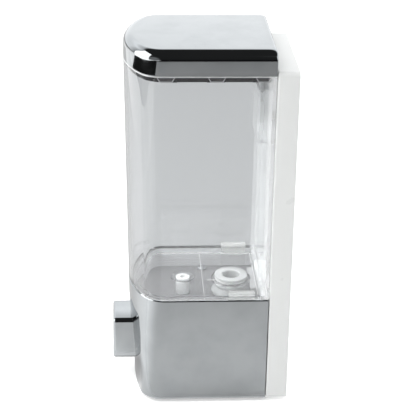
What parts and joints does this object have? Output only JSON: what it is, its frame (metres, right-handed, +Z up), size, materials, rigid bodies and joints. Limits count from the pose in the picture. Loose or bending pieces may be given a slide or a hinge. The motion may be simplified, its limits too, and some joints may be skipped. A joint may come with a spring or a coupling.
{
  "type": "wall mounted soap dispenser",
  "caption": "Wall mounted liquid soap dispenser: hook-on back plate, clear tank under a lift-off lid, and a push-button piston pump in the housing below.",
  "frame": {"origin": "middle of the wall plate's back face, on the wall plane", "axes": "+Z up, +Y into the wall, so the front with the button faces -Y, and +X to the right of somebody who faces the wall"},
  "size_m": [0.071, 0.0953, 0.2],
  "materials": {
    "white_plastic": "glossy white moulded plastic",
    "clear_plastic": "clear moulded plastic, polished",
    "chrome_plating": "mirror chrome plating over moulded plastic",
    "grey_plastic": "satin grey moulded plastic",
    "dark_plastic": "dark grey moulded plastic",
    "milky_plastic": "milky translucent plastic",
    "silicone": "pale silicone rubber",
    "screw_steel": "plain steel"
  },
  "bodies": {
    "wall_plate": {"wall_plate": "white_plastic"},
    "unit": {"housing": "chrome_plating", "housing_base": "grey_plastic", "base_screw_1": "screw_steel", "base_screw_2": "screw_steel", "base_screw_3": "screw_steel", "base_screw_4": "screw_steel", "pump_deck": "grey_plastic", "deck_screw_1": "screw_steel", "deck_screw_2": "screw_steel", "pump_strap_front": "grey_plastic", "pump_strap_rear": "grey_plastic", "strap_screw_front_1": "screw_steel", "strap_screw_front_2": "screw_steel", "strap_screw_rear_1": "screw_steel", "strap_screw_rear_2": "screw_steel", "pump_cylinder": "white_plastic", "cylinder_cap": "white_plastic", "inlet_neck": "milky_plastic", "neck_seal": "silicone", "inlet_valve": "silicone", "nozzle": "white_plastic", "outlet_valve": "silicone", "return_spring": "screw_steel", "tank": "clear_plastic", "tank_floor": "clear_plastic", "tank_retainer": "milky_plastic", "tank_clip_left": "clear_plastic", "tank_clip_right": "clear_plastic"},
    "lid": {"lid": "chrome_plating", "lid_insert": "dark_plastic", "lid_screw_1": "screw_steel", "lid_screw_2": "screw_steel", "lid_screw_3": "screw_steel", "lid_screw_4": "screw_steel"},
    "button": {"button": "chrome_plating", "push_rod": "white_plastic", "piston": "white_plastic", "piston_seal": "silicone"}
  },
  "joints": [
    {"name": "unit_lift", "type": "slide", "parent": "wall_plate", "child": "unit", "axis": [0, 0, 1], "range_m": [0, 0.009]},
    {"name": "lid_lift", "type": "slide", "parent": "unit", "child": "lid", "axis": [0, 0, 1], "range_m": [0, 0.03]},
    {"name": "button_press", "type": "slide", "parent": "unit", "child": "button", "axis": [0, 1, 0], "range_m": [0, 0.009], "stiffness_N_per_m": 500, "springref_m": -0.01, "deforming": ["return_spring"]}
  ]
}
